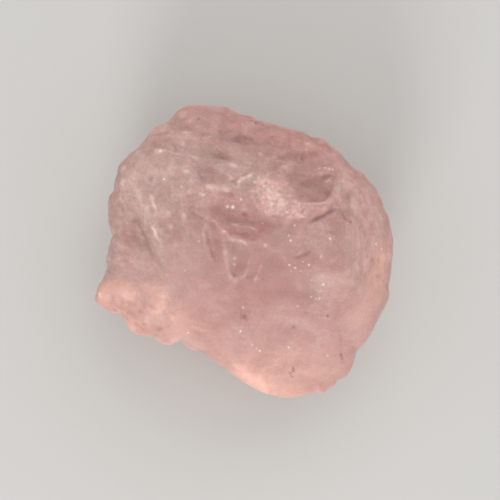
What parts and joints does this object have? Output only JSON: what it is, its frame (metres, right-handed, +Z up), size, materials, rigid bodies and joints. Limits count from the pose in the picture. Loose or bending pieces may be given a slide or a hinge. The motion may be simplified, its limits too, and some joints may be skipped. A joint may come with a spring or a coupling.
{
  "type": "morganite gemstone",
  "caption": "Rough morganite gemstone: a blocky pale pink lump of beryl with a pointed lobe at one side, an etched hollow on top and a small flat spot that it rests on.",
  "frame": {"origin": "on the resting surface, below the middle of the stone's width and depth", "axes": "+Z up from the resting spot; seen from above, +X runs to the right, away from the pointed lobe, and +Y towards the far side"},
  "size_m": [0.025, 0.0246, 0.0143],
  "materials": {
    "morganite": "milky, slightly see-through peach pink with a frosted, etched surface and a satin sheen"
  },
  "bodies": {
    "root": {"morganite_stone": "morganite"}
  },
  "joints": []
}
